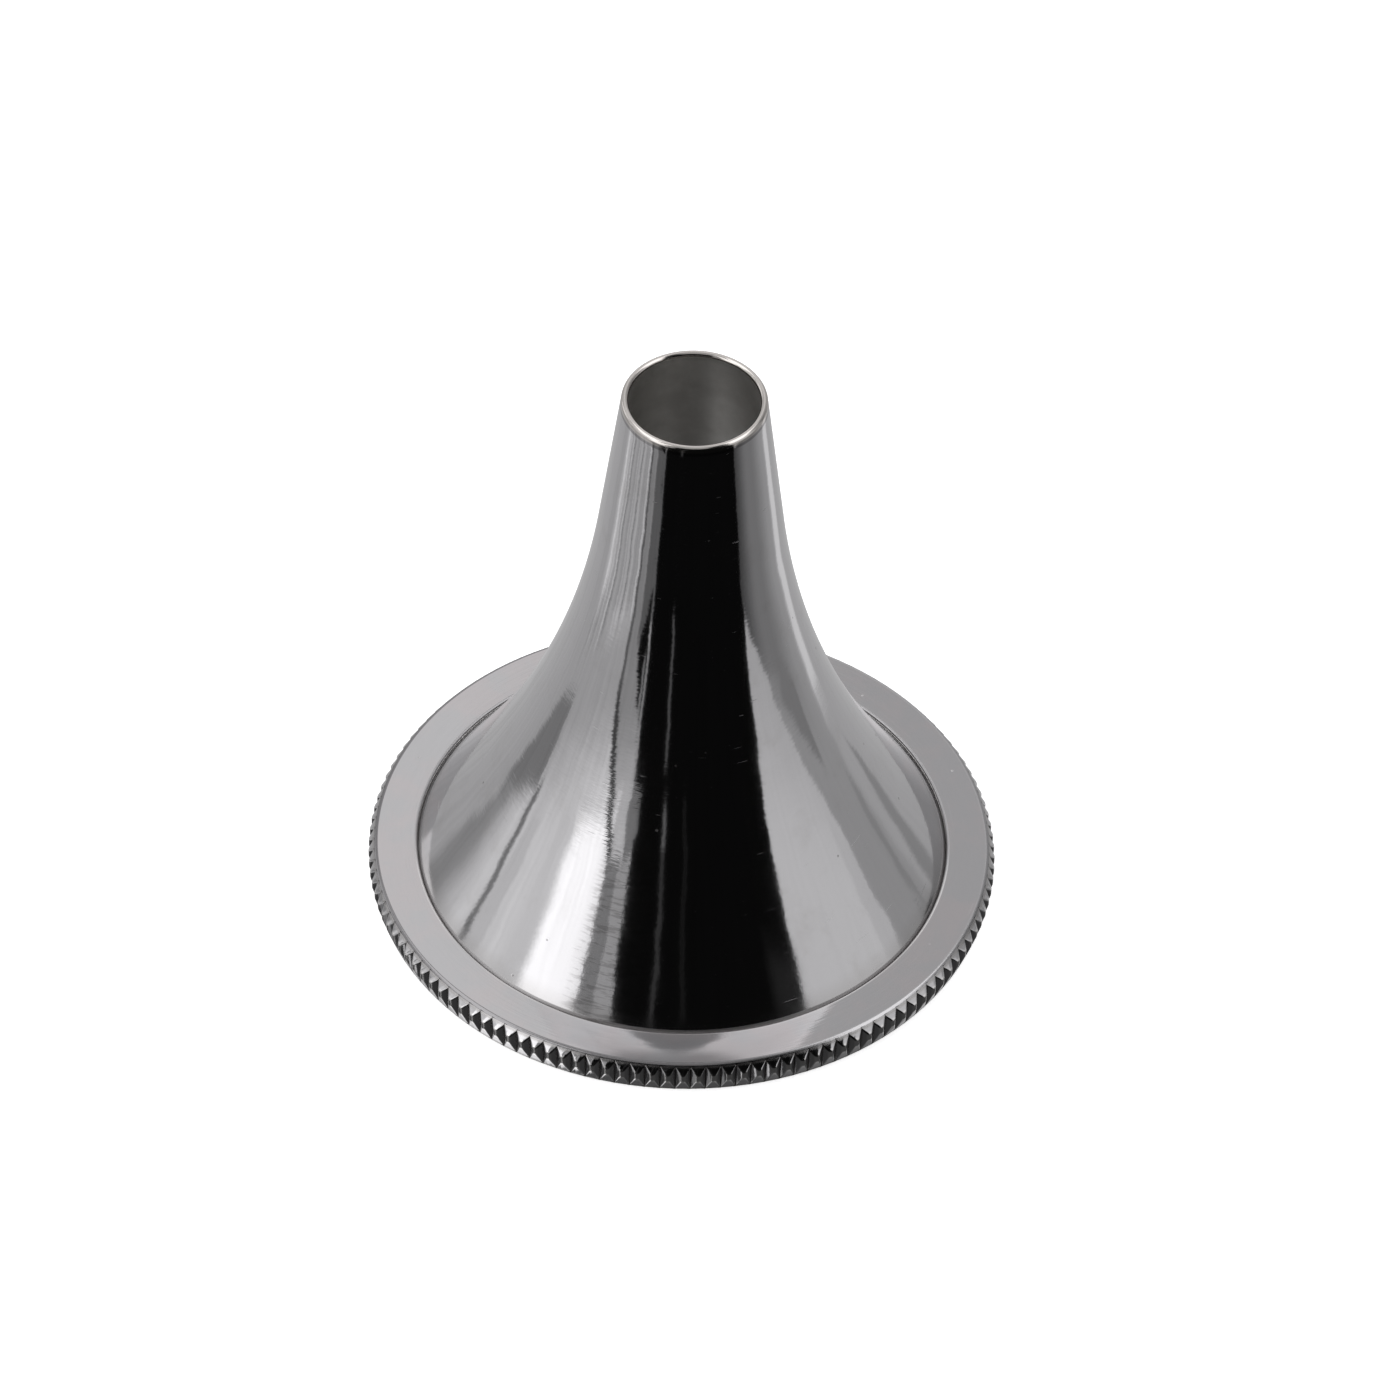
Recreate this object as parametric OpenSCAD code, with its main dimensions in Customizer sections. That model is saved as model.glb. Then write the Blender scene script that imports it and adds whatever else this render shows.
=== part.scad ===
// Ear speculum, one size of a graded set: a thin trumpet funnel soldered into the tapered bore
// of a turned and knurled rim ring. It stands on the flat underside of the rim ring, tip up.
// The origin is the centre of that underside, and Z is the axis of everything here.

/* [Funnel] */
// Height from the underside of the rim to the end of the tip
funnel_h = 36.5; // [30:0.5:44]
// Outside diameter at the end of the tip
tip_d = 8.1; // [5:0.1:10]
// Half angle of the straight cone below the tip
tip_angle = 7.1; // [5:0.1:9]
// Radius of the long hollow curve of the flare, on its outer face
flare_r = 55; // [46:1:64]
// Outside diameter of the mouth, at the underside
mouth_d = 33.1; // [28:0.1:38.2]
// Thickness of the sheet metal
wall = 0.4; // [0.3:0.05:0.7]

/* [Rim ring] */
// Thickness of the ring
ring_t = 2; // [1.8:0.1:3]
// Width of the underside, from the bore to the sloped side
base_w = 1.07; // [0.8:0.01:2]
// Rounding of the outer edge on top
top_edge_r = 0.25; // [0.1:0.05:0.3]
// Rounding of the outer edge underneath
base_edge_r = 0.15; // [0.1:0.05:0.3]
// Rounding of the sharp top edge of the bore
bore_edge_r = 0.1; // [0.06:0.01:0.12]

/* [Knurl] */
// Number of grooves round the ring
groove_n = 130; // [90:2:150]
// Included angle of one groove
groove_angle = 100; // [90:1:110]
// Width of the flat that is left on a crest
crest_w = 0.2; // [0.06:0.02:0.24]
// Height of the lower end of the band at the full diameter, above the underside
crest_z = 0.95; // [0.7:0.05:1.1]
// Height of that band
crest_h = 0.47; // [0.3:0.01:0.6]
// How much smaller in radius the ring is at its underside, below a steep sloped side
base_drop = 0.32; // [0.2:0.02:0.4]
// How much smaller in radius it is at its top face, above a flatter sloped side
top_drop = 0.4; // [0.3:0.02:0.5]

/* [Solder] */
// Gap between the funnel and the bore of the ring, filled with solder
solder_gap = 0.06; // [0.04:0.01:0.12]
// How far the solder stays below the top face of the ring
solder_drop = 0.2; // [0.2:0.01:0.4]

/* [Hidden] */
arc_steps = 16;
edge_steps = 5;
seat_steps = 3;

// Straight cone on the outer face: a point of it at the lip, its way down and its way out
lip_c = [tip_d / 2 - wall / 2, funnel_h - wall / 2];
cone_down = [sin(tip_angle), -cos(tip_angle)];
cone_out = [cos(tip_angle), sin(tip_angle)];
cone_top = lip_c + wall / 2 * cone_out;

// The flare leaves the cone without a corner and reaches the mouth. How far the mouth lies down
// along the cone and out from it gives the length of the cone's straight part.
mouth_r = mouth_d / 2;
mouth_down = ([mouth_r, 0] - cone_top) * cone_down;
mouth_out = ([mouth_r, 0] - cone_top) * cone_out;
cone_l = mouth_down - sqrt(mouth_out * (2 * flare_r - mouth_out));
flare_c = cone_top + cone_l * cone_down + flare_r * cone_out;

// Rim ring
side_r = mouth_r + solder_gap + base_w;
knurl_r = side_r + base_drop;
seam_top = ring_t - solder_drop;

// Knurl: the flanks of two grooves would meet at peak_r, a little outside the crest
groove_half = groove_angle / 2;
groove_pitch = 2 * PI * knurl_r / groove_n;
peak_r = knurl_r + crest_w / 2 / tan(groove_half);
root_r = peak_r - groove_pitch / 2 / tan(groove_half);

// Points of an arc about c, from one angle to another
function arc(c, r, from, to, steps) =
    [for (i = [0:steps]) let (a = from + (to - from) * i / steps) c + r * [cos(a), sin(a)]];

// Points of a rounded corner at b, on the way from a to c
function corner(a, b, c, r) =
    let (
        u = (a - b) / norm(a - b),
        v = (c - b) / norm(c - b),
        half = acos(u * v) / 2,
        m = b + (u + v) / norm(u + v) * r / sin(half),
        s = b + u * r / tan(half) - m,
        e = b + v * r / tan(half) - m,
        from = atan2(s[1], s[0]),
        turn = atan2(s[0] * e[1] - s[1] * e[0], s * e)
    )
    arc(m, r, from, from + turn, edge_steps);

function reversed(points) = [for (i = [len(points) - 1:-1:0]) points[i]];

// Angle, seen from the centre of the flare, at which its curve of radius r is at height z
function height_angle(r, z) = 180 + asin((flare_c[1] - z) / r);

// Curve along the flare beside the solder, at a distance outwards from the flare's outer face
function seat_curve(out) =
    let (r = flare_r - out)
    arc(flare_c, r, height_angle(r, 0), height_angle(r, seam_top), seat_steps);

// One face of the sheet from the mouth to the end of the flare
function sheet_face(out) =
    let (
        r = flare_r - out,
        open_flare = arc(flare_c, r, height_angle(r, seam_top), 180 + tip_angle, arc_steps)
    )
    concat(seat_curve(out), [for (i = [1:arc_steps]) open_flare[i]]);

// Thin trumpet with an even wall and a fully rounded lip
module funnel() {
    lip = arc(lip_c, wall / 2, tip_angle, 180 + tip_angle, 2 * edge_steps);
    color("silver")
        rotate_extrude($fn = 180)
            polygon(concat(sheet_face(0), lip, reversed(sheet_face(-wall))));
}

// Section of the ring before it is knurled: a bore that follows the flare, flat faces, two
// sloped sides that meet at the crest band, and rounded edges
module ring_section() {
    bore = seat_curve(solder_gap);
    top_angle = height_angle(flare_r - solder_gap, ring_t);
    bore_top = flare_c + (flare_r - solder_gap) * [cos(top_angle), sin(top_angle)];
    side_top = [knurl_r - top_drop, ring_t];
    side_bottom = [side_r, 0];
    crest_top = [knurl_r, crest_z + crest_h];
    crest_bottom = [knurl_r, crest_z];
    polygon(concat(
        corner(bore[0], side_bottom, crest_bottom, base_edge_r),
        [crest_bottom, crest_top],
        corner(crest_top, side_top, bore_top, top_edge_r),
        corner(side_top, bore_top, bore[seat_steps], bore_edge_r),
        reversed(bore)));
}

// Star outline of the straight grooves, with its peaks just outside the crests
module knurl_outline() {
    polygon([for (i = [0:2 * groove_n - 1])
        let (a = 180 * i / groove_n, r = i % 2 == 0 ? peak_r : root_r)
        r * [cos(a), sin(a)]]);
}

// Flat rim ring. The grooves run out on its sloped sides, which leaves a row of pyramids.
module rim_ring() {
    color("gainsboro")
        intersection() {
            rotate_extrude($fn = 2 * groove_n)
                ring_section();
            linear_extrude(height = ring_t)
                knurl_outline();
        }
}

// Solder in the joint: a film between the flare and the bore, hollow where it ends at the top
module solder_seam() {
    inner = seat_curve(0);
    outer = seat_curve(solder_gap);
    dip = (inner[seat_steps] + outer[seat_steps]) / 2 - [0, solder_gap / 4];
    color("darkgray")
        rotate_extrude($fn = 180)
            polygon(concat(inner, [dip], reversed(outer)));
}

funnel();
rim_ring();
solder_seam();
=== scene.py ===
import math

import bmesh
import bpy
from mathutils import Matrix, Vector


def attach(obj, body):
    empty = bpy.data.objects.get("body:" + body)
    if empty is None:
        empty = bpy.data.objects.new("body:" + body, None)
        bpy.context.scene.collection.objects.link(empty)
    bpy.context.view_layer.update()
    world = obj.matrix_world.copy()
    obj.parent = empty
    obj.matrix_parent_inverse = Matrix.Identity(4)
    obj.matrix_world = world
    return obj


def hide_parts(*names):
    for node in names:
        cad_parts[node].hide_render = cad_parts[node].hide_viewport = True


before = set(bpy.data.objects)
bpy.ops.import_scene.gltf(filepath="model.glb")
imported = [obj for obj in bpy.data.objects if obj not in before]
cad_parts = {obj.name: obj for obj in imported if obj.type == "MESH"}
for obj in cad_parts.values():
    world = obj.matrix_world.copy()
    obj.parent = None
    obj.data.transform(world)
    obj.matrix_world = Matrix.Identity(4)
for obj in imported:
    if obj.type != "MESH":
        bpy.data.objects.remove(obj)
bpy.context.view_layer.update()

# Ear speculum: a thin polished trumpet soldered into a turned rim ring with a knurled edge.
# Sizes are in millimetres and repeat the part's source; MM turns them into metres.
MM = 0.001

# Funnel
WALL = 0.4
CONE_ANGLE = math.radians(7.1)
FLARE_RADIUS = 55.0
MOUTH_RADIUS = 16.55
LIP_CENTRE = Vector((3.85, 0, 36.3))
LIP_POINTS = 24
CONE_STEPS = 16
FLARE_STEPS = 96
ROUND_STEPS = 288

# Rim ring
RING_HEIGHT = 2.0
SOLDER_GAP = 0.06
SOLDER_DROP = 0.2
BASE_RADIUS = 17.68
TOP_RADIUS = 17.6
CREST_RADIUS = 18.0
CREST_LOW = 0.95
CREST_HIGH = 1.42
TEETH = 130
GROOVE_HALF_ANGLE = math.radians(50.0)
CREST_FLAT = 0.2
PITCH = 2 * math.pi / TEETH
# Size of each rounding and its number of steps
BASE_ROUNDING = (0.108, 4)
TOP_ROUNDING = (0.131, 4)
BORE_ROUNDING = (0.22, 8)
RIDGE_ROUNDING = (0.07, 3)
TOOTH_STEPS = 3
SOLDER_STEPS = 4
# Space that the table leaves under the part
FLOOR_DROP = 0.02

# Two points closer than this are one point
TOUCH = 0.002
# Edges sharper than this stay sharp
SHARP = math.radians(40)
RING_SHARP = math.radians(28)
# Where the look of the bore begins below the lip, and that of the knurl outside the flat top
BORE_TOP = LIP_CENTRE.z - 0.1
KNURL_INSIDE = TOP_RADIUS - 0.14

# Camera, from the rim, bore and tip circles in the picture
CAMERA_PLACE = Vector((0.0, -368.029, 376.204))
CAMERA_FORWARD = Vector((0.00153, 0.71209, -0.70209))
CAMERA_ROLL = math.radians(1.73)
CAMERA_LENS = 234.933


# Modelling helpers

def deselect_all():
    if bpy.context.object and bpy.context.object.mode == "EDIT":
        bpy.ops.object.mode_set(mode="OBJECT")
    bpy.ops.object.select_all(action="DESELECT")


def new_piece(name):
    """Names the primitive that was just added, with its place in its mesh."""
    piece = bpy.context.object
    piece.name = piece.data.name = name
    bpy.ops.object.transform_apply(location=True, rotation=True, scale=True)
    return piece


def edit(piece):
    deselect_all()
    bpy.context.view_layer.objects.active = piece
    piece.select_set(True)
    bpy.ops.object.mode_set(mode="EDIT")


def pick(piece, kind, wanted):
    """Selects the vertices, edges or faces for which wanted(element) holds, and nothing else."""
    bpy.ops.mesh.select_mode(type=kind)
    bpy.ops.mesh.select_all(action="DESELECT")
    mesh = bmesh.from_edit_mesh(piece.data)
    elements = {"VERT": mesh.verts, "EDGE": mesh.edges, "FACE": mesh.faces}[kind]
    for element in elements:
        element.select_set(bool(wanted(element)))
    mesh.select_flush(True)
    bmesh.update_edit_mesh(piece.data)


def pick_vertex_at(piece, place):
    pick(piece, "VERT", lambda vertex: (vertex.co - place).length < TOUCH * MM)


def pick_all():
    bpy.ops.mesh.select_all(action="SELECT")


def outwards():
    """Merges what touches, then turns every face outwards."""
    pick_all()
    bpy.ops.mesh.remove_doubles(threshold=TOUCH * MM)
    pick_all()
    bpy.ops.mesh.normals_make_consistent(inside=False)


def smooth(piece, angle):
    deselect_all()
    bpy.context.view_layer.objects.active = piece
    piece.select_set(True)
    bpy.ops.object.shade_smooth_by_angle(angle=angle)


def middle(edge):
    return (edge.verts[0].co + edge.verts[1].co) / 2


def ring_radius(place):
    return math.hypot(place.x, place.y)


# The flare leaves the straight cone without a corner and reaches the mouth. How far the mouth
# lies down along the cone and out from it gives the length of the cone's straight part.
cone_down = Vector((math.sin(CONE_ANGLE), 0, -math.cos(CONE_ANGLE)))
cone_out = Vector((math.cos(CONE_ANGLE), 0, math.sin(CONE_ANGLE)))
cone_top = LIP_CENTRE + cone_out * WALL / 2
to_mouth = Vector((MOUTH_RADIUS, 0, 0)) - cone_top
mouth_out = to_mouth.dot(cone_out)
cone_length = to_mouth.dot(cone_down) - math.sqrt(mouth_out * (2 * FLARE_RADIUS - mouth_out))
flare_centre = cone_top + cone_down * cone_length + cone_out * FLARE_RADIUS


def flare_slope(out, height):
    """Slope from the axis of the curve beside the flare, out from its outer face, at a height."""
    return math.asin((flare_centre.z - height) / (FLARE_RADIUS - out))


def flare_point(out, height):
    radius = FLARE_RADIUS - out
    slope = flare_slope(out, height)
    return flare_centre - Vector((radius * math.cos(slope), 0, radius * math.sin(slope)))


def draw_wall(piece, out):
    """Draws one face of the sheet from the lip to the mouth, out from its outer face."""
    lip_end = LIP_CENTRE + cone_out * (WALL / 2 + out)
    pick_vertex_at(piece, lip_end * MM)
    for _ in range(CONE_STEPS):
        bpy.ops.mesh.extrude_region_move(
            TRANSFORM_OT_translate={"value": cone_down * cone_length * MM / CONE_STEPS})
    bpy.ops.mesh.spin(
        steps=FLARE_STEPS, angle=flare_slope(out, 0) - CONE_ANGLE, center=flare_centre * MM,
        axis=(0, 1, 0))


def make_funnel():
    """The lip's half circle comes first, both faces of the sheet are drawn down from it, and
    the closed section is spun round the axis."""
    deselect_all()
    bpy.ops.mesh.primitive_circle_add(
        vertices=LIP_POINTS, radius=WALL / 2 * MM, location=LIP_CENTRE * MM,
        rotation=(math.pi / 2, -CONE_ANGLE, 0))
    funnel = new_piece("funnel_polished")
    edit(funnel)
    pick(funnel, "VERT", lambda v: (v.co - LIP_CENTRE * MM).dot(cone_down) > 0.001 * MM)
    bpy.ops.mesh.delete(type="VERT")
    draw_wall(funnel, 0)
    draw_wall(funnel, -WALL)
    # The mouth's edge lies flat on the table
    pick(funnel, "VERT", lambda v: v.co.z < 0.001 * MM)
    bpy.ops.transform.resize(value=(1, 1, 0), center_override=(0, 0, 0))
    bpy.ops.mesh.edge_face_add()
    pick_all()
    bpy.ops.mesh.spin(steps=ROUND_STEPS, angle=2 * math.pi, center=(0, 0, 0), axis=(0, 0, 1))
    outwards()
    smooth(funnel, SHARP)
    return funnel


# Rim ring: one tooth, with its share of the ring, is cut and then copied round the axis

def flank_plane(side):
    """A point of one flank of the tooth, the direction that it faces, and the radius at which
    it meets the next tooth."""
    peak = Vector((CREST_RADIUS + CREST_FLAT / 2 / math.tan(GROOVE_HALF_ANGLE), 0, 0))
    depth = PITCH * CREST_RADIUS / 2 / math.tan(GROOVE_HALF_ANGLE)
    root_radius = peak.x - depth
    root = Vector((root_radius * math.cos(PITCH / 2), side * root_radius * math.sin(PITCH / 2), 0))
    along = (root - peak).normalized()
    return peak, Vector((-along.y, along.x, 0)) * -side, root_radius


def make_ring():
    """The section is drawn and spun into one tooth, which is cut to a pyramid and copied."""
    deselect_all()
    bore_top = flare_point(SOLDER_GAP, RING_HEIGHT)
    bore_middle = flare_point(SOLDER_GAP, RING_HEIGHT / 2)
    bore_bottom = flare_point(SOLDER_GAP, 0)
    width = TOP_RADIUS - bore_top.x
    bpy.ops.mesh.primitive_plane_add(
        size=1, location=Vector(((bore_top.x + TOP_RADIUS) / 2, 0, RING_HEIGHT / 2)) * MM,
        rotation=(math.pi / 2, 0, 0))
    bpy.context.object.scale = (width * MM, RING_HEIGHT * MM, 1)
    ring = new_piece("rim_ring_knurled")
    edit(ring)

    def move(start, end):
        """Moves the one corner of the section that is at start."""
        pick_vertex_at(ring, start * MM)
        bpy.ops.transform.translate(value=(end - start) * MM)

    # The bore follows the flare
    move(Vector((bore_top.x, 0, 0)), bore_bottom)
    pick(ring, "EDGE", lambda e: middle(e).x < bore_bottom.x * MM
         and abs(e.verts[0].co.z - e.verts[1].co.z) > 0.5 * RING_HEIGHT * MM)
    bpy.ops.mesh.subdivide(number_cuts=1)
    move((bore_top + bore_bottom) / 2, bore_middle)
    # Outwards to the crest band, with a flatter sloped side above it and a steep one below it
    pick(ring, "EDGE", lambda e: middle(e).x > (TOP_RADIUS - 0.01) * MM)
    bpy.ops.mesh.extrude_region_move(
        TRANSFORM_OT_translate={"value": ((CREST_RADIUS - TOP_RADIUS) * MM, 0, 0)})
    move(Vector((CREST_RADIUS, 0, RING_HEIGHT)), Vector((CREST_RADIUS, 0, CREST_HIGH)))
    move(Vector((CREST_RADIUS, 0, 0)), Vector((CREST_RADIUS, 0, CREST_LOW)))
    move(Vector((TOP_RADIUS, 0, 0)), Vector((BASE_RADIUS, 0, 0)))
    pick_all()
    bpy.ops.mesh.dissolve_faces()
    for radius, height, (size, steps) in (
            (BASE_RADIUS, 0, BASE_ROUNDING), (TOP_RADIUS, RING_HEIGHT, TOP_ROUNDING),
            (bore_top.x, RING_HEIGHT, BORE_ROUNDING)):
        pick_vertex_at(ring, Vector((radius, 0, height)) * MM)
        bpy.ops.mesh.bevel(
            affect="VERTICES", offset_type="OFFSET", offset=size * MM, segments=steps)
    pick_all()
    bpy.ops.mesh.spin(steps=TOOTH_STEPS, angle=PITCH, center=(0, 0, 0), axis=(0, 0, 1))
    outwards()
    # Centred on the X axis, whichever way the spin has gone
    sideways = sum(v.co.y for v in bmesh.from_edit_mesh(ring.data).verts)
    bpy.ops.object.mode_set(mode="OBJECT")
    turn = Matrix.Rotation(-math.copysign(PITCH / 2, sideways), 4, "Z")
    ring.data.transform(turn)
    edit(ring)
    for side in (1, -1):
        place, facing, root_radius = flank_plane(side)
        pick_all()
        bpy.ops.mesh.bisect(
            plane_co=place * MM, plane_no=facing, use_fill=True, clear_outer=True,
            threshold=0.0001 * MM)
    outwards()

    def is_ridge(edge):
        """True between a flank and another face, outside the bottom of the groove."""
        if len(edge.link_faces) != 2 or ring_radius(middle(edge)) < (root_radius + 0.03) * MM:
            return False
        flank = [abs(face.normal.z) < 0.001 and abs(face.normal.y) > 0.5
                 for face in edge.link_faces]
        return flank[0] != flank[1]

    # Ridges of the pyramid, rounded by wear and plating
    pick(ring, "EDGE", is_ridge)
    size, steps = RIDGE_ROUNDING
    bpy.ops.mesh.bevel(offset_type="OFFSET", offset=size * MM, segments=steps)
    # The foot of each ridge ends level with the underside
    pick(ring, "VERT", lambda v: v.co.z < 0)
    bpy.ops.transform.resize(value=(1, 1, 0), center_override=(0, 0, 0))
    # The two cut ends, where the next tooth joins
    end = math.sin(PITCH / 2)
    pick(ring, "FACE", lambda f: abs(f.normal.z) < 0.001 and all(
        abs(abs(v.co.y) / ring_radius(v.co) - end) < 0.0002 for v in f.verts))
    bpy.ops.mesh.delete(type="FACE")
    bpy.ops.object.mode_set(mode="OBJECT")
    tooth = ring.data
    copies = []
    for number in range(1, TEETH):
        mesh = tooth.copy()
        mesh.transform(Matrix.Rotation(number * PITCH, 4, "Z"))
        copy = bpy.data.objects.new(f"tooth_{number}", mesh)
        bpy.context.scene.collection.objects.link(copy)
        copies.append(copy)
    deselect_all()
    for copy in copies:
        copy.select_set(True)
    ring.select_set(True)
    bpy.context.view_layer.objects.active = ring
    bpy.ops.object.join()
    edit(ring)
    outwards()
    smooth(ring, RING_SHARP)
    weigh = ring.modifiers.new("weigh normals", "WEIGHTED_NORMAL")
    weigh.keep_sharp = True
    bpy.ops.object.modifier_apply(modifier=weigh.name)
    return ring


def make_solder():
    """A film between the flare and the bore, hollow where it ends at the top."""
    deselect_all()
    top = RING_HEIGHT - SOLDER_DROP
    bpy.ops.mesh.primitive_circle_add(
        vertices=ROUND_STEPS, radius=flare_point(0, top).x * MM, location=(0, 0, top * MM))
    solder = new_piece("solder_seam_plated")
    edit(solder)
    pick(solder, "VERT", lambda vertex: True)

    def go_to(place, previous):
        """Draws the rim of the film on from its last place to the next."""
        share = place.x / previous.x
        bpy.ops.mesh.extrude_region_move(
            TRANSFORM_OT_translate={"value": (0, 0, (place.z - previous.z) * MM)})
        bpy.ops.transform.resize(value=(share, share, 1), center_override=(0, 0, place.z * MM))

    heights = [top * step / SOLDER_STEPS for step in range(SOLDER_STEPS + 1)]
    inner = [flare_point(0, height) for height in reversed(heights)]
    outer = [flare_point(SOLDER_GAP, height) for height in heights]
    dip = (inner[0] + outer[-1]) / 2 - Vector((0, 0, SOLDER_GAP / 4))
    places = inner + outer + [dip, inner[0]]
    for previous, place in zip(places, places[1:]):
        go_to(place, previous)
    outwards()
    smooth(solder, SHARP)
    return solder


funnel = make_funnel()
ring = make_ring()
solder = make_solder()
for piece, node in ((funnel, "funnel"), (ring, "rim_ring"), (solder, "solder_seam")):
    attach(piece, "root")
    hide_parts(node)


# Shader helpers

class Wire:
    """An output socket. Arithmetic on it adds Math nodes."""

    def __init__(self, tree, socket):
        self.tree = tree
        self.socket = socket

    def out(self, name):
        return Wire(self.tree, self.socket.node.outputs[name])

    def dot(self, direction):
        return self.tree.add("ShaderNodeVectorMath", {"operation": "DOT_PRODUCT"},
                             {0: self, 1: direction}).out("Value")

    def math(self, operation, *others):
        return self.tree.add(
            "ShaderNodeMath", {"operation": operation}, dict(enumerate((self,) + others)))

    def __add__(self, other):
        return self.math("ADD", other)

    __radd__ = __add__

    def __sub__(self, other):
        return self.math("SUBTRACT", other)

    def __rsub__(self, other):
        return self.tree.add(
            "ShaderNodeMath", {"operation": "SUBTRACT"}, {0: other, 1: self})

    def __mul__(self, other):
        return self.math("MULTIPLY", other)

    __rmul__ = __mul__

    def __truediv__(self, other):
        return self.math("DIVIDE", other)

    def __neg__(self):
        return self * -1


class Tree:
    """Adds nodes to one node tree."""

    def __init__(self, tree):
        self.nodes = tree.nodes
        self.links = tree.links
        self.nodes.clear()

    def add(self, kind, settings=None, inputs=None):
        """Adds a node: its settings come first, then the values or wires of its sockets."""
        node = self.nodes.new(kind)
        for name, value in (settings or {}).items():
            setattr(node, name, value)
        for name, value in (inputs or {}).items():
            if isinstance(value, Wire):
                self.links.new(value.socket, node.inputs[name])
            else:
                node.inputs[name].default_value = value
        return Wire(self, node.outputs[0]) if node.outputs else node

    def between(self, value, low, high):
        """0 below low, 1 above high, and a smooth rise between them."""
        return self.add(
            "ShaderNodeMapRange", {"interpolation_type": "SMOOTHSTEP"},
            {"Value": value, "From Min": low, "From Max": high})

    def blend(self, below, above, share):
        """The number below where share is 0, above where it is 1."""
        return self.add("ShaderNodeMix", {"data_type": "FLOAT"}, {0: share, 2: below, 3: above})


# Surroundings: a small light tent with a bright window on its left, a white sheet on its right,
# and an open front with a dark room behind it. Directions are in degrees: turn is 0 towards the
# open front and grows to the right, rise is 0 at the horizon and 90 overhead. x and y are the
# direction's own, from -1 to 1. Brightness is 1 for a white that is fully lit.
DARK_ROOM = 0.004


def bar(start, end, width):
    """Corners of a straight bar between two directions."""
    run, climb = end[0] - start[0], end[1] - start[1]
    half = width / 2 / math.hypot(run, climb)
    side = (-climb * half, run * half)
    return [(start[0] - side[0], start[1] - side[1]), (end[0] - side[0], end[1] - side[1]),
            (end[0] + side[0], end[1] + side[1]), (start[0] + side[0], start[1] + side[1])]


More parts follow.
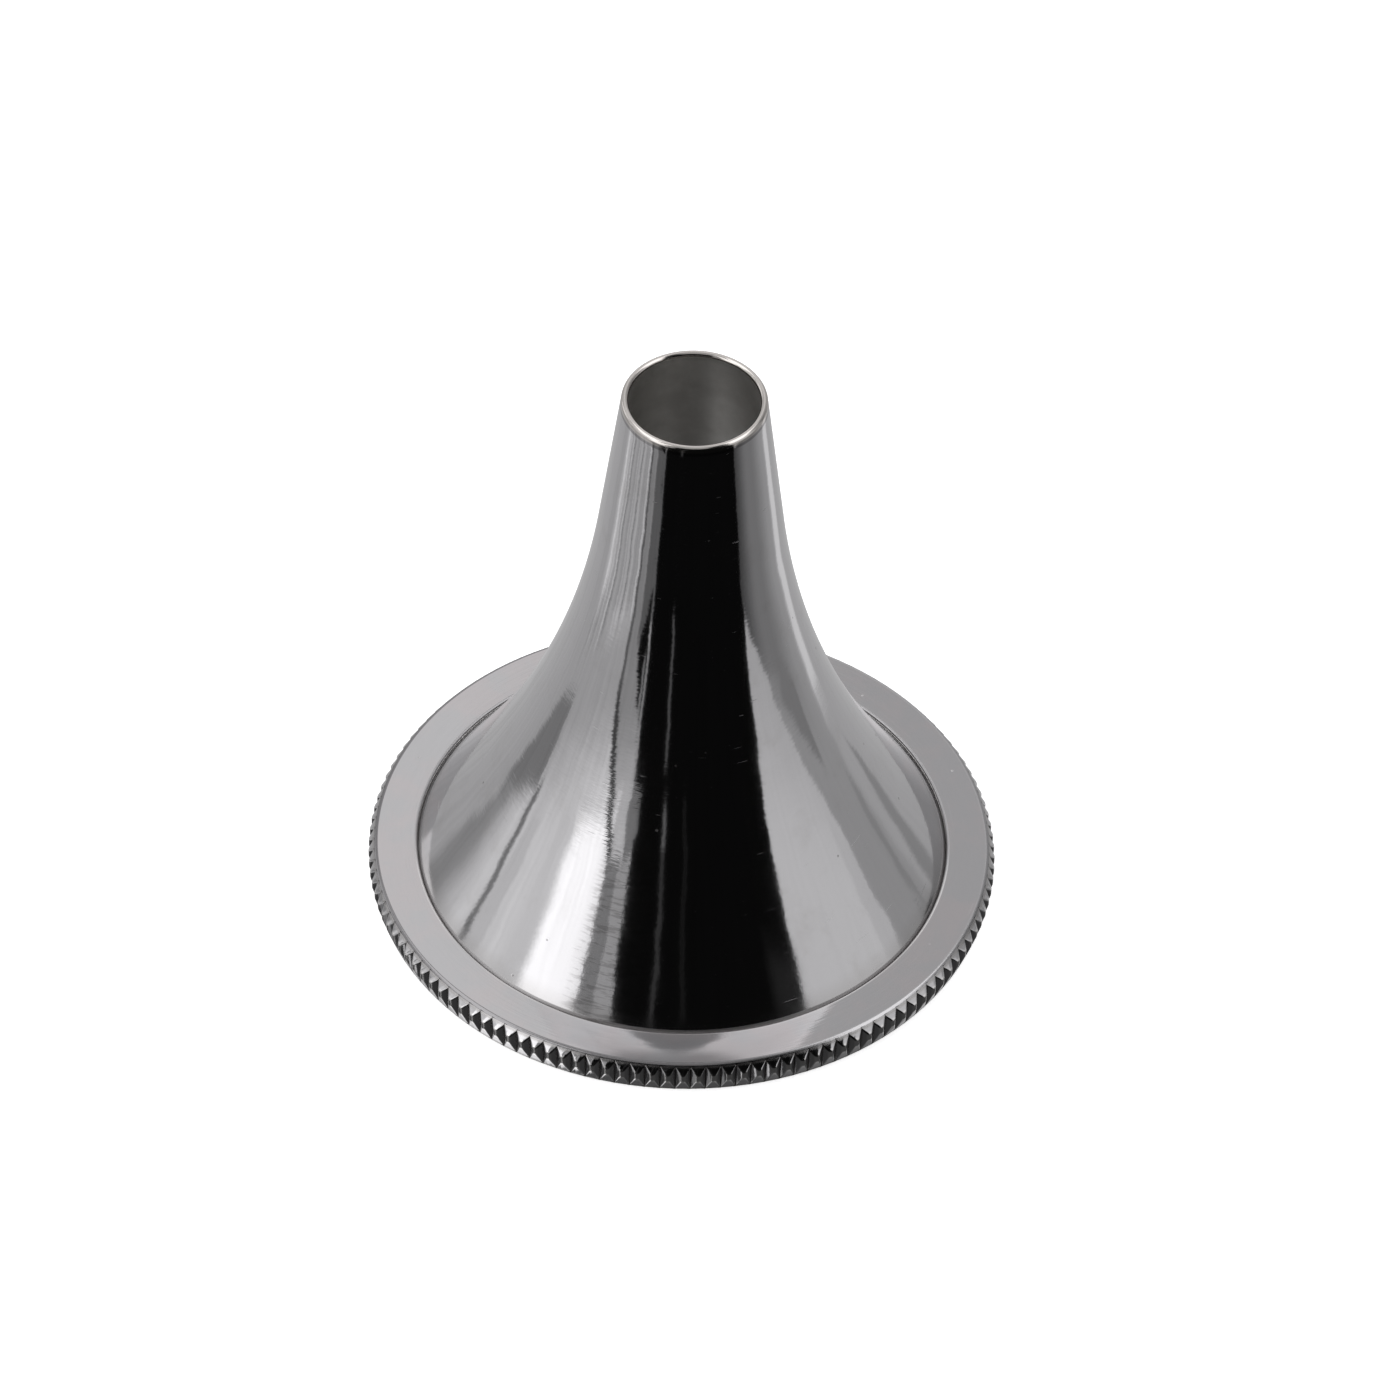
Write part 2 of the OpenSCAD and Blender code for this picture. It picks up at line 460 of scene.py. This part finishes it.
def build_world():
    """Paints the tent by direction, from what lies behind to what lies in front. The camera
    itself sees plain white."""
    world = bpy.data.worlds.new("studio_tent")
    bpy.context.scene.world = world
    world.use_nodes = True
    tree = Tree(world.node_tree)
    between, blend = tree.between, tree.blend
    direction = tree.add("ShaderNodeTexCoord").out("Generated")
    axes = tree.add("ShaderNodeSeparateXYZ", inputs={0: direction})
    x, y, z = axes.out("X"), axes.out("Y"), axes.out("Z")
    degrees = 180 / math.pi
    turn = x.math("ARCTAN2", -y) * degrees
    rise = z.math("ARCSINE") * degrees
    place = tree.add("ShaderNodeCombineXYZ", inputs={0: turn, 1: rise, 2: 1.0})

    def panel(corners, soft=1.5):
        """1 inside a convex panel whose corners are listed anticlockwise, as seen from inside the
        tent. soft is the width of its blurred edges, one number or one for each edge."""
        softs = soft if isinstance(soft, tuple) else (soft,) * len(corners)
        nearest = None
        for start, end, blur in zip(corners, corners[1:] + corners[:1], softs):
            run, climb = end[0] - start[0], end[1] - start[1]
            length = math.hypot(run, climb) * blur
            # Distance to the left of the line from start to end, in widths of its blur
            edge = place.dot((-climb / length, run / length,
                              (start[0] * climb - start[1] * run) / length))
            nearest = edge if nearest is None else nearest.math("MINIMUM", edge)
        return between(nearest, -0.5, 0.5)

    # Left wall, brighter in its upper half
    level = blend(0.50, 0.90, between(rise, -19, -2))

    def paint(value, share):
        """Lays a new brightness over what is there, where share is 1."""
        nonlocal level
        level = blend(level, value, share)

    paint(0.74, panel([(-91, -8), (-84.5, -6), (-84.5, 40), (-91, 40)]))
    paint(0.82, panel([(-73, -6), (-68, -6), (-68, 40), (-73, 40)]))
    # Back of the tent on the left
    paint(blend(0.33, 0.93, between(turn, -117, -95)),
          between(turn, -96, -97) * between(rise, -16, -12))
    paint(0.52, between(turn, -119, -128))
    paint(0.22, panel(bar((-91.3, 10), (-95.3, -11.5), 2.6), 1.2))
    paint(0.25, panel(
        [(-120, -17.5), (-110, -23.5), (-97.5, -21), (-97, -10.8), (-116, -14.2)],
        (3.0, 1.5, 1.0, 4.0, 3.0)))
    paint(0.8, panel([(-112, -44), (-98, -44), (-100, -31), (-108, -31)], 5.0))
    paint(0.62, panel([(-88, -28), (-62, -29), (-64, -25), (-84, -25)], 3.0))
    # Right wall and the back of the tent beside it
    low_right = blend(0.06, 0.25, between(turn, 57, 82))
    low_right = blend(low_right, 0.42, between(turn, 88, 116))
    paint(blend(low_right, 0.41, between(rise, -25, -15)), between(turn, 50, 56))
    paint(0.50, between(turn, 116, 121))
    paint(0.85, panel([(122, -46), (136, -46), (131, -29), (121, -25)], 4.0))
    paint(0.33, panel(bar((122, -4), (131.5, -23), 4.5), 2.0))
    paint(0.33, panel(bar((111.5, -3), (116, -17), 3.0)))
    paint(0.26, panel([(84, -19), (91, -25), (101, -23.5), (101, -15)], 2.0))
    paint(blend(0.56, 0.76, between(rise, -23, 3)), panel(
        [(48, -26.5), (62, -26.5), (70, -23), (84, -14.5), (94.5, -7.5), (94.5, 90), (48, 90)],
        1.2))
    paint(0.66, panel([(88, -9), (94, -6), (94, 45), (88, 45)]))
    # Upper half of the back, lighter on the left, and the dark opening overhead
    away = turn.math("ABSOLUTE")
    shade = blend(0.27, 0.48, between(turn, 114, 146))
    shade = blend(shade, 0.60, between(turn, 0, -10))
    shade = blend(shade, 1.12, panel([(-133, -1), (-90, -1), (-90, 34), (-133, 34)], 1.5))
    shade = blend(shade, 0.95, between(away, 146, 176))
    paint(shade, between(rise, 0, 3) * between(away, 109, 111))
    paint(0.04, panel([(109, -1), (116.5, -1), (116.5, 4.5), (109, 4.5)]))
    paint(blend(0.87, 0.52, between(x, -0.03, 0.022)),
          between(rise, 39, 43) * between(y, 0.2, 0.4))
    paint(1.05, between(rise, 36, 39) * between(y, 0.2, 0.3)
          * between(x, 0.055, 0.075) * between(x, 0.24, 0.18))
    paint(1.0, between(rise, 52, 62) * between(y, 0.2, 0.3))
    paint(0.05, between(rise, 44, 50) * between(y, 0.2, 0.1))
    # Window in the left wall, the grey post beside it and the struts under it
    paint(blend(0.36, 0.74, between(rise, -17, 4)), panel(
        [(-59, -18), (-52, -22), (-30, -22), (-27, 4), (-40, 4)], 1.0))
    paint(0.33, panel([(-57.5, -60), (-50, -60), (-50, -20), (-57.5, -20)]))
    paint(0.15, panel([(-50.5, -60), (-36, -60), (-36, -26), (-50.5, -22.5)], 1.0))
    paint(blend(1.66, 1.35, between(turn, -48, -41)), panel(
        [(-63.3, -2.2), (-40.3, -2.2), (-40.3, 82), (-63.3, 82)], (6.0, 1.0, 2.0, 4.0)))
    paint(0.27, panel([(-40.4, 4), (-33, 4), (-33, 70), (-40.4, 70)], 1.0))
    paint(0.46, panel([(-33, 4), (-26, 5), (-26, 70), (-33, 70)], 1.0))
    paint(0.25, panel([(-35.5, -9), (-26, -3), (-26, 4), (-31.5, 5)], 1.0))
    paint(0.04, panel(bar((-39.3, 3.6), (-59.3, -18), 2.4), 0.8))
    paint(0.13, panel(bar((-59, -17.5), (-58.6, -60), 2.6), 0.8))
    # Open front and the floor below it
    paint(DARK_ROOM, panel([(-49, -22), (-40, -29.5), (-36, -11.5)], 0.8))
    paint(0.30, panel(bar((-37, -11), (-40.3, -20.5), 1.3), 0.8))
    paint(DARK_ROOM, panel(
        [(-27, 4), (50, 4), (53, 42), (55, 95), (-27, 95)], (0.8, 0.8, 2.0, 0.8, 0.8)))
    paint(DARK_ROOM, panel([(-27, -4), (51.4, -4), (49.9, 5.5), (-27, 5.5)], 0.8))
    paint(DARK_ROOM, panel(
        [(-38, -70), (64, -70), (60, -25.5), (51.2, -2), (-27, -2.6), (-33.7, -5), (-38, -29.5)],
        0.8))
    paint(0.06, between(rise, -31, -44) * between(away, 60, 40))
    # Overhead: a dim patch in the middle and a skylight on each side of it
    aside = x.math("ABSOLUTE")
    slanted = aside + y * 0.7
    paint(0.48, between(rise, 42, 52) * between(aside, 0.34, 0.22) * between(y, 0.3, 0.2))
    paint(1.9, between(rise, 25, 30) * between(slanted, 0.34, 0.40) * between(slanted, 0.84, 0.76)
          * between(y, 0.52, 0.46) * between(aside, 0.21, 0.27))
    # Bright edges of things in the dark room
    paint(0.05, panel(bar((-9.3, 26), (-11, 3), 2.0), 1.0))
    paint(0.16, panel(bar((-11, 3), (-11.4, -2), 2.0), 1.0))
    paint(0.11, panel(bar((-12.4, -6), (-15.5, -26), 1.8), 1.0))
    paint(0.03, panel(bar((1.0, 24), (1.0, -3), 0.4), 0.3))
    paint(0.03, panel(bar((2.2, 24), (2.2, -3), 0.4), 0.3))
    paint(0.022, panel([(40, 14), (50, 14), (52, 60), (42, 60)], 7.0))
    # Low down, seen in the flanks of the teeth: dark, with two lighter stripes on the left
    paint(0.05, between(rise, -38, -42) * between(away, 138, 126))
    paint(0.26, panel([(-74, -57), (-58, -57), (-58, -39), (-74, -39)], 3.0))
    paint(0.8, panel([(-46, -57), (-41, -57), (-41, -39), (-46, -39)]))
    # Table top below the part: bright on the left, dark in front, grey on the right
    table = blend(blend(1.1, 0.10, between(x, -0.27, -0.23)), 0.19, between(x, 0.12, 0.3))
    paint(table, between(rise, -57, -64))
    # Uneven cloth of the tent
    cloth = tree.add("ShaderNodeTexNoise", {"noise_dimensions": "2D"}, {
        "Vector": tree.add("ShaderNodeCombineXYZ", inputs={0: turn * 0.55, 1: rise * 0.04}),
        "Scale": 1.0, "Detail": 3.0, "Roughness": 0.6})
    folds = blend(0.4, 0.12, between(turn, 30, 60))
    # Threads that run down it, low on its left side
    threads = tree.add("ShaderNodeTexNoise", {"noise_dimensions": "1D"}, {
        "W": turn * 0.3, "Scale": 1.0, "Detail": 2.0, "Roughness": 0.7})
    drawn = between(turn, -57, -60) * between(turn, -112, -104) * between(rise, -24, -28)
    level = level * ((cloth - 0.5) * folds + 1 + (threads - 0.5) * drawn * 2.0)
    seen = tree.add("ShaderNodeLightPath").out("Is Camera Ray")
    tent = tree.add("ShaderNodeBackground", inputs={"Color": (1, 0.994, 1.004, 1),
                                                    "Strength": level})
    backdrop = tree.add("ShaderNodeBackground", inputs={"Color": (1, 1, 1, 1), "Strength": 1.0})
    mixed = tree.add("ShaderNodeMixShader", inputs={0: seen, 1: tent, 2: backdrop})
    tree.add("ShaderNodeOutputWorld", inputs={"Surface": mixed})


def build_floor():
    """White table top. The metal mirrors the tent's own table instead of it."""
    deselect_all()
    bpy.ops.mesh.primitive_plane_add(size=4.0, location=(0, 0, -FLOOR_DROP * MM))
    floor = new_piece("studio_floor")
    material = bpy.data.materials.new("white_table")
    material.use_nodes = True
    tree = Tree(material.node_tree)
    seen = tree.add("ShaderNodeLightPath").out("Is Camera Ray")
    paper = tree.add("ShaderNodeBsdfDiffuse", inputs={"Color": (0.8, 0.8, 0.8, 1)})
    lift = tree.add("ShaderNodeEmission", inputs={"Color": (1, 1, 1, 1), "Strength": seen * 0.72})
    both = tree.add("ShaderNodeAddShader", inputs={0: paper, 1: lift})
    tree.add("ShaderNodeOutputMaterial", inputs={"Surface": both})
    floor.data.materials.append(material)
    floor.visible_glossy = False


def build_camera():
    data = bpy.data.cameras.new("camera")
    data.lens, data.sensor_width = CAMERA_LENS, 36
    data.clip_start, data.clip_end = 0.01, 20
    camera = bpy.data.objects.new("camera", data)
    bpy.context.scene.collection.objects.link(camera)
    forward = CAMERA_FORWARD.normalized()
    level = forward.cross(Vector((0, 0, 1))).normalized()
    right = level * math.cos(CAMERA_ROLL) + level.cross(forward) * math.sin(CAMERA_ROLL)
    up = right.cross(forward)
    camera.matrix_world = Matrix.Translation(CAMERA_PLACE * MM) @ Matrix(
        (right, up, -forward)).transposed().to_4x4()
    bpy.context.scene.camera = camera


# Materials: lengths are in millimetres, heights of the relief in micrometres

class Metal(Tree):
    """A metal with its relief, colour and roughness, turned round the axis of the part."""

    def __init__(self, name):
        self.material = bpy.data.materials.new(name)
        self.material.use_nodes = True
        super().__init__(self.material.node_tree)
        self.place = self.add("ShaderNodeVectorMath", {"operation": "SCALE"}, {
            0: self.add("ShaderNodeTexCoord").out("Object"), "Scale": 1 / MM})
        axes = self.add("ShaderNodeSeparateXYZ", inputs={0: self.place})
        x, y, self.height = axes.out("X"), axes.out("Y"), axes.out("Z")
        self.radius = (x * x + y * y).math("SQRT")
        self.round_x, self.round_y = x / self.radius, y / self.radius

    def noise(self, size, detail=2.0):
        return self.add("ShaderNodeTexNoise", inputs={
            "Vector": self.place, "Scale": 1 / size, "Detail": detail, "Roughness": 0.6})

    def turned(self, across, spacing, arcs=4.0, detail=2.0):
        """Noise drawn out into lines round the axis. across is the way that counts them."""
        lines = self.add("ShaderNodeCombineXYZ", inputs={
            0: self.round_x * arcs, 1: self.round_y * arcs, 2: across * (1 / spacing)})
        return self.add("ShaderNodeTexNoise", inputs={
            "Vector": lines, "Scale": 1.0, "Detail": detail, "Roughness": 0.65})

    def pits(self, spacing, size):
        """1 in small pits, of which only those that the surface happens to meet show."""
        cells = self.add("ShaderNodeTexVoronoi", inputs={
            "Vector": self.place, "Scale": 1 / spacing})
        return self.between(cells.out("Distance"), size / spacing, size * 0.4 / spacing)

    def tint(self, below, above, share):
        return self.add("ShaderNodeMix", {"data_type": "RGBA"}, {
            0: share, 6: below, 7: above}).out(2)

    def finish(self, colour, roughness, relief):
        bump = self.add("ShaderNodeBump", inputs={
            "Strength": 1.0, "Distance": 0.001 * MM, "Height": relief})
        shader = self.add("ShaderNodeBsdfPrincipled", inputs={
            "Base Color": colour, "Metallic": 1.0, "Roughness": roughness, "Normal": bump})
        self.add("ShaderNodeOutputMaterial", inputs={"Surface": shader})
        return self.material


CHROME = (0.575, 0.571, 0.579, 1)
CHROME_WORN_AND_HIGHLIGHT = (0.84, 0.83, 0.82, 1)
CHROME_DULL_AND_SHADE = (0.47, 0.46, 0.455, 1)
CHROME_WARM = (0.60, 0.575, 0.58, 1)
CHROME_SHADED = (0.4, 0.395, 0.4, 1)
CHROME_PAINTED_SHADE = (0.26, 0.255, 0.26, 1)
DIRT_AND_SHADE = (0.2, 0.19, 0.19, 1)
LIP_METAL = (0.58, 0.553, 0.527, 1)
BORE_LIGHT = (0.57, 0.56, 0.54, 1)
BORE_DARK = (0.50, 0.49, 0.472, 1)
SOLDER_PAINTED_LIGHT_HIGH = (0.80, 0.79, 0.78, 1)
SOLDER_PAINTED_LIGHT_LOW = (0.66, 0.65, 0.64, 1)


def polished_chrome():
    """Outside of the funnel: buffed round and round, with a few pits and hair scratches, a
    rubbed lip, a hatched patch in front, a painted shadow line below the lip, and painted
    shade low on the flare and in the gap at its foot."""
    metal = Metal("polished_chrome")
    lines = metal.turned(metal.height, 0.18, 9.0)
    grain = metal.noise(0.35)
    waves = metal.noise(3.5, 1.0)
    scratches = metal.between(metal.turned(metal.height, 0.13, 5.0, 1.0), 0.735, 0.79)
    buffed = (metal.between(metal.round_x, -0.2, -0.4) * metal.between(metal.round_x, -0.66, -0.56)
              * metal.between(metal.height, 18, 10))
    pits = metal.pits(2.2, 0.11)
    stains = metal.noise(2.4, 4.0)
    # Painted shade at the foot of the flare, growing towards the ring
    foot = metal.between(metal.height, 3.0, 1.9)
    lip = metal.between(metal.height, 36.14, 36.22)
    # Painted shadow line just below the lip
    lip_shadow_line = metal.between(metal.height, 35.94, 36.02) * (1 - lip)
    gap_line = metal.between(metal.height, 2.06, 2.0)
    # Painted shade in the gap under the top of the ring, less of it on the left
    gap_shade = gap_line * (0.7 - metal.between(metal.round_x, -0.35, -0.65) * 0.35)
    hatched = (metal.between(metal.round_x, -0.46, -0.40)
               * metal.between(metal.round_x, -0.1, -0.2)
               * metal.between(metal.round_y, -0.5, -0.8) * metal.between(metal.height, 12, 8))
    colour = metal.tint(CHROME, CHROME_DULL_AND_SHADE, metal.between(stains, 0.52, 0.85) * 0.5)
    colour = metal.tint(colour, CHROME_DULL_AND_SHADE, foot * 0.6)
    colour = metal.tint(colour, DIRT_AND_SHADE, pits * 0.7)
    colour = metal.tint(colour, DIRT_AND_SHADE, hatched * metal.between(lines, 0.48, 0.62) * 0.4
                        + lip_shadow_line * 0.6 + gap_shade)
    colour = metal.tint(colour, LIP_METAL, lip)
    roughness = (0.05 + stains * 0.05 + scratches * 0.22 + pits * 0.3 + foot * 0.05 + lip * 0.06
                 + gap_line * 0.3)
    relief = lines * (2.0 + buffed * 1.6) + grain * 1.8 + waves * 36 - scratches - pits * 4
    return metal.finish(colour, roughness, relief)


def satin_bore():
    """Inside of the funnel: drawn and left satin, with darker stains."""
    metal = Metal("satin_bore")
    lines = metal.turned(metal.height, 0.16, 5.0)
    stains = metal.noise(1.8, 4.0)
    colour = metal.tint(BORE_LIGHT, BORE_DARK, metal.between(stains, 0.35, 0.7))
    return metal.finish(colour, 0.42 + stains * 0.08, lines * 7.0 + stains * 8.0)


def turned_chrome():
    """Flat top of the ring: concentric turning lines under the plating. The edge of the bore
    carries a painted highlight in front, and painted shade and more roughness behind."""
    metal = Metal("turned_chrome")
    lines = metal.turned(metal.radius, 0.11, 3.0)
    grain = metal.noise(0.3)
    edge = metal.between(metal.radius, 15.4, 15.33)
    stains = metal.noise(3.0, 4.0)
    pits = metal.pits(1.8, 0.08)
    colour = metal.tint(CHROME, CHROME_WARM, metal.between(stains, 0.4, 0.6))
    colour = metal.tint(colour, CHROME_DULL_AND_SHADE, pits * 0.8)
    # Painted highlight along the edge of the bore, covered behind by painted shade
    colour = metal.tint(colour, CHROME_WORN_AND_HIGHLIGHT, edge * 0.4)
    colour = metal.tint(colour, CHROME_SHADED, edge * metal.between(metal.round_y, -0.25, 0.05))
    roughness = (0.03 + stains * 0.05 + pits * 0.3
                 + edge * metal.between(metal.round_y, -0.6, -0.35) * 0.3)
    return metal.finish(colour, roughness, lines * 1.6 + grain * 0.5 - pits * 3.0)


def knurl_chrome():
    """Edge of the ring: bright chrome, rubbed lighter on the crests, dull in the grooves, with
    painted shade on the rounding above them."""
    metal = Metal("knurl_chrome")
    grain = metal.noise(0.16, 3.0)
    crest = metal.between(metal.radius, 17.88, 17.98)
    rounding = metal.between(metal.height, 1.86, 1.9)
    colour = metal.tint(CHROME, CHROME_WORN_AND_HIGHLIGHT, crest * (0.4 + grain))
    # Painted shade on the rounding above the teeth, half as strong on the right
    rounding_shade = rounding * (1 - metal.between(metal.round_x, 0.25, 0.4) * 0.5)
    colour = metal.tint(colour, CHROME_PAINTED_SHADE, rounding_shade)
    hollow = metal.between(metal.radius, 17.82, 17.72) * (1 - rounding)
    colour = metal.tint(colour, CHROME_DULL_AND_SHADE, hollow)
    roughness = 0.08 + crest * 0.06 + hollow * 0.2 + rounding * 0.14
    return metal.finish(colour, roughness, grain * 2.5)


def plated_solder():
    """Solder under the plating: satin, with flat lumps. Its tones are painted light, lighter than
    the plating, to brighten the shaded gap.
    """
    metal = Metal("plated_solder")
    lumps = metal.noise(0.5, 1.0)
    # Both tones are painted light, lighter than the plating, to brighten the shaded gap
    colour = metal.tint(SOLDER_PAINTED_LIGHT_HIGH, SOLDER_PAINTED_LIGHT_LOW, lumps)
    return metal.finish(colour, 0.4 + lumps * 0.1, lumps * 2.0)


build_world()
build_floor()
build_camera()
funnel.data.materials.append(polished_chrome())
funnel.data.materials.append(satin_bore())
# Faces that look to the axis, below the lip
for face in funnel.data.polygons:
    outward = face.normal.x * face.center.x + face.normal.y * face.center.y
    if outward < 0 and face.center.z < BORE_TOP * MM:
        face.material_index = 1
ring.data.materials.append(turned_chrome())
ring.data.materials.append(knurl_chrome())
# Faces outside the flat top and the underside
for face in ring.data.polygons:
    if ring_radius(face.center) > KNURL_INSIDE * MM:
        face.material_index = 1
solder.data.materials.append(plated_solder())

bpy.context.scene.view_settings.view_transform = "Standard"
